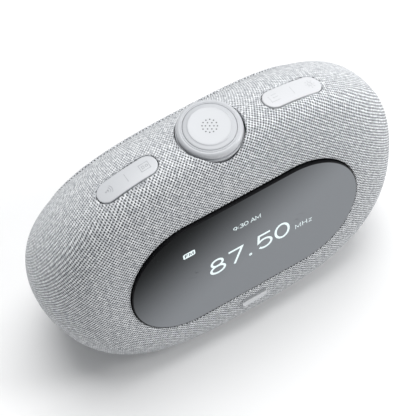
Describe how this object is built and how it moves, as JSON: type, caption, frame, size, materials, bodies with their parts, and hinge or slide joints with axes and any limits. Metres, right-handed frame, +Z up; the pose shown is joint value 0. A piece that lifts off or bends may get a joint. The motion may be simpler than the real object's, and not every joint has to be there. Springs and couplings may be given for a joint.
{
  "type": "smart display",
  "caption": "Fabric-covered bedside smart display with a pill-shaped window, a turning dial with a press cap and rocker keys on top, and side-firing speakers.",
  "frame": {"origin": "centre of the underside of the rubber foot, on the surface the object stands on", "axes": "+Z up, the screen faces -Y, +X to the right as seen from the front"},
  "size_m": [0.19, 0.0785, 0.1226],
  "materials": {
    "badge_plate": "satin silver bar",
    "base_plate": "black moulded plastic, fine texture",
    "base_screw_1": "plated steel",
    "base_screw_2": "plated steel",
    "base_screw_3": "plated steel",
    "base_screw_4": "plated steel",
    "chassis": "moulded structural plastic",
    "control_board": "green solder mask",
    "dial_encoder": "black switch body",
    "dial_ring": "pale satin plastic, finely knurled",
    "dial_seat": "black moulded plastic, fine texture",
    "display_frame": "black moulded plastic, fine texture",
    "display_lens": "smoked gloss window, black painted from behind",
    "display_panel": "liquid crystal module",
    "display_ribbon": "amber flexible circuit",
    "fabric_cover": "light grey melange woven cloth, bonded over the shell",
    "foot_pad": "matt black rubber",
    "front_baffle": "moulded structural plastic",
    "left_basket": "black painted stamped steel",
    "left_bulkhead": "moulded structural plastic",
    "left_cone": "coated cone with voice coil former",
    "left_inner_switch": "black switch body",
    "left_key": "pale satin silicone-coated rocker",
    "left_key_board": "green solder mask",
    "left_magnet": "plated magnet shield",
    "left_outer_switch": "black switch body",
    "left_surround": "moulded rubber roll",
    "main_board": "green solder mask",
    "port_board": "green solder mask",
    "power_inlet": "black moulded plastic, fine texture",
    "radiator_frame": "moulded structural plastic",
    "radiator_plate": "stamped weight",
    "radiator_surround": "moulded rubber roll",
    "radio_antenna": "amber film antenna",
    "rear_housing": "moulded structural plastic",
    "rear_panel": "black moulded plastic, fine texture",
    "right_basket": "black painted stamped steel",
    "right_bulkhead": "moulded structural plastic",
    "right_cone": "coated cone with voice coil former",
    "right_inner_switch": "black switch body",
    "right_key": "pale satin silicone-coated rocker",
    "right_key_board": "green solder mask",
    "right_magnet": "plated magnet shield",
    "right_outer_switch": "black switch body",
    "right_surround": "moulded rubber roll",
    "snooze_cap": "pale satin plastic",
    "snooze_switch": "black switch body",
    "usb_port": "plated steel shell"
  },
  "bodies": {
    "enclosure": {"badge_plate": "badge_plate", "base_plate": "base_plate", "base_screw_1": "base_screw_1", "base_screw_2": "base_screw_2", "base_screw_3": "base_screw_3", "base_screw_4": "base_screw_4", "chassis": "chassis", "control_board": "control_board", "dial_encoder": "dial_encoder", "dial_seat": "dial_seat", "display_frame": "display_frame", "display_lens": "display_lens", "display_panel": "display_panel", "display_ribbon": "display_ribbon", "fabric_cover": "fabric_cover", "foot_pad": "foot_pad", "front_baffle": "front_baffle", "left_basket": "left_basket", "left_bulkhead": "left_bulkhead", "left_inner_switch": "left_inner_switch", "left_key_board": "left_key_board", "left_magnet": "left_magnet", "left_outer_switch": "left_outer_switch", "left_surround": "left_surround", "main_board": "main_board", "port_board": "port_board", "power_inlet": "power_inlet", "radiator_frame": "radiator_frame", "radiator_surround": "radiator_surround", "radio_antenna": "radio_antenna", "rear_housing": "rear_housing", "rear_panel": "rear_panel", "right_basket": "right_basket", "right_bulkhead": "right_bulkhead", "right_inner_switch": "right_inner_switch", "right_key_board": "right_key_board", "right_magnet": "right_magnet", "right_outer_switch": "right_outer_switch", "right_surround": "right_surround", "snooze_switch": "snooze_switch", "usb_port": "usb_port"},
    "dial": {"dial_ring": "dial_ring"},
    "press_cap": {"snooze_cap": "snooze_cap"},
    "left_rocker": {"left_key": "left_key"},
    "right_rocker": {"right_key": "right_key"},
    "left_driver": {"left_cone": "left_cone"},
    "right_driver": {"right_cone": "right_cone"},
    "radiator": {"radiator_plate": "radiator_plate"}
  },
  "joints": [
    {"name": "dial_turn", "type": "hinge", "parent": "enclosure", "child": "dial", "pos_m": [0, 0.0006, 0.1155], "axis": [0, 0, 1], "continuous": true},
    {"name": "snooze_press", "type": "slide", "parent": "enclosure", "child": "press_cap", "axis": [0, 0, -1], "range_m": [0, 0.0006], "stiffness_N_per_m": 600, "springref_m": -0.0008},
    {"name": "left_rocker_tilt", "type": "hinge", "parent": "enclosure", "child": "left_rocker", "pos_m": [-0.04293, -0.00058, 0.11179], "axis": [0.0294, 0.9907, -0.1326], "range_deg": [-2, 2], "stiffness_Nm_per_rad": 0.35},
    {"name": "right_rocker_tilt", "type": "hinge", "parent": "enclosure", "child": "right_rocker", "pos_m": [0.04293, -0.00058, 0.11179], "axis": [-0.0294, 0.9907, -0.1326], "range_deg": [-2, 2], "stiffness_Nm_per_rad": 0.35},
    {"name": "left_cone_travel", "type": "slide", "parent": "enclosure", "child": "left_driver", "axis": [-1, 0, 0], "range_m": [-0.0015, 0.0015], "stiffness_N_per_m": 900},
    {"name": "right_cone_travel", "type": "slide", "parent": "enclosure", "child": "right_driver", "axis": [1, 0, 0], "range_m": [-0.0015, 0.0015], "stiffness_N_per_m": 900},
    {"name": "radiator_travel", "type": "slide", "parent": "enclosure", "child": "radiator", "axis": [0, 1, 0], "range_m": [-0.0015, 0.0015], "stiffness_N_per_m": 1200}
  ]
}
